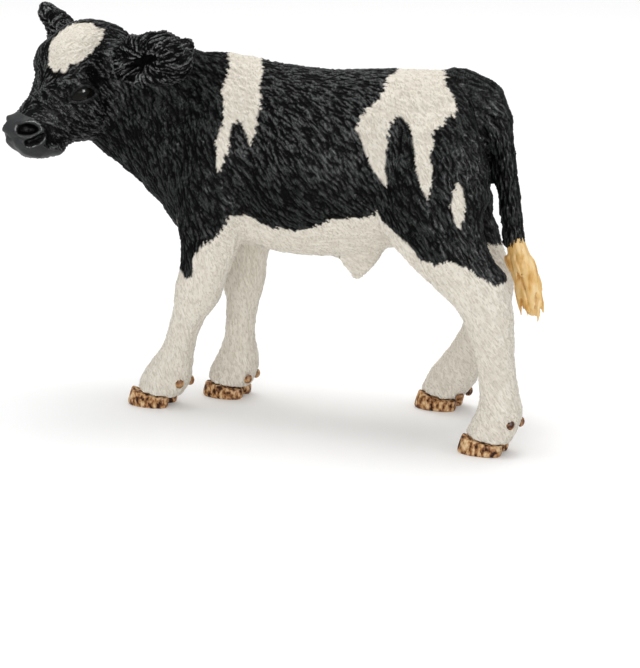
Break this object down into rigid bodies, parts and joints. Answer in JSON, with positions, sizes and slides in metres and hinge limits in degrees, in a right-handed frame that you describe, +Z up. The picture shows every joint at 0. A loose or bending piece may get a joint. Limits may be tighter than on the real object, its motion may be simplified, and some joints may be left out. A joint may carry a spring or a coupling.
{
  "type": "toy calf figure",
  "caption": "Small moulded plastic figure of a black-and-white calf in a walking pose, head turned to its left, standing on its hooves.",
  "frame": {"origin": "on the ground, under the middle of the figure's box", "axes": "+Z up, the calf faces -X, its left side is towards -Y"},
  "size_m": [0.0804, 0.03, 0.057],
  "materials": {
    "black_coat": "painted plastic with carved hair, satin black",
    "white_coat": "painted plastic with carved hair, satin cream white",
    "horn": "satin brown with dark streaks",
    "tail_hair": "satin straw colour with carved strands",
    "eye": "glossy black paint"
  },
  "bodies": {
    "root": {"trunk": "black_coat", "neck": "black_coat", "head": "black_coat", "ear_left": "black_coat", "ear_right": "black_coat", "eye_left": "eye", "eye_right": "eye", "foreleg_left": "white_coat", "front_left_inner_claw": "horn", "front_left_outer_claw": "horn", "front_left_inner_dewclaw": "horn", "front_left_outer_dewclaw": "horn", "foreleg_right": "white_coat", "front_right_inner_claw": "horn", "front_right_outer_claw": "horn", "front_right_inner_dewclaw": "horn", "front_right_outer_dewclaw": "horn", "hind_leg_left": "white_coat", "hind_left_inner_claw": "horn", "hind_left_outer_claw": "horn", "hind_left_inner_dewclaw": "horn", "hind_left_outer_dewclaw": "horn", "hind_leg_right": "white_coat", "hind_right_inner_claw": "horn", "hind_right_outer_claw": "horn", "hind_right_inner_dewclaw": "horn", "hind_right_outer_dewclaw": "horn", "tail": "black_coat", "tail_switch": "tail_hair"}
  },
  "joints": []
}
